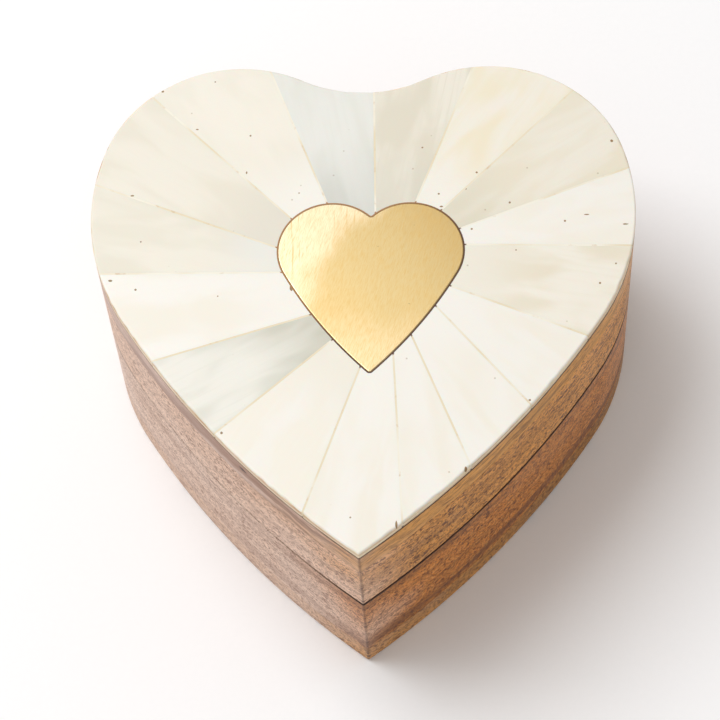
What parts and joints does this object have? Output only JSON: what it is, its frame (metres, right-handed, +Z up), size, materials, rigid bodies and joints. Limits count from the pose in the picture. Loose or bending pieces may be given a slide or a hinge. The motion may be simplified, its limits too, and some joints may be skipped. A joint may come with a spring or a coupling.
{
  "type": "heart-shaped trinket box",
  "caption": "Heart-shaped wooden trinket box with a hinged lid faced with wedge-shaped bone tiles around a small brass heart.",
  "frame": {"origin": "on the underside, at the middle of the heart's width and depth", "axes": "+Z up through the lid, +Y from the tip of the heart towards the cleft and the hinges, +X to the right seen from the tip"},
  "size_m": [0.1, 0.1032, 0.0501],
  "materials": {
    "wood_ring": "matte",
    "wood_panel": "satin",
    "wood_base": "matte",
    "felt": "matte",
    "bone_white": "satin",
    "bone_cream": "satin",
    "bone_grey": "satin",
    "filler": "satin",
    "brass_sheet": "satin",
    "hinge_brass": "satin"
  },
  "bodies": {
    "body": {"base_panel": "wood_base", "body_ring": "wood_ring", "floor_lining": "felt", "hinge_left_lower_leaf": "hinge_brass", "hinge_right_lower_leaf": "hinge_brass", "hinge_left_pin": "hinge_brass", "hinge_right_pin": "hinge_brass", "lower_screws": "hinge_brass"},
    "lid": {"lid_ring": "wood_ring", "lid_panel": "wood_panel", "inlay_filler": "filler", "brass_heart": "brass_sheet", "hinge_left_upper_leaf": "hinge_brass", "hinge_right_upper_leaf": "hinge_brass", "upper_screws": "hinge_brass", "bone_tile_01": "bone_grey", "bone_tile_02": "bone_cream", "bone_tile_03": "bone_cream", "bone_tile_04": "bone_cream", "bone_tile_05": "bone_white", "bone_tile_06": "bone_white", "bone_tile_07": "bone_white", "bone_tile_08": "bone_white", "bone_tile_09": "bone_white", "bone_tile_10": "bone_white", "bone_tile_11": "bone_white", "bone_tile_12": "bone_grey", "bone_tile_13": "bone_white", "bone_tile_14": "bone_cream", "bone_tile_15": "bone_cream", "bone_tile_16": "bone_cream"}
  },
  "joints": [
    {"name": "lid_hinge", "type": "hinge", "parent": "body", "child": "lid", "pos_m": [0, 0.0517, 0.0274], "axis": [-1, 0, 0], "range_deg": [0, 105]}
  ]
}
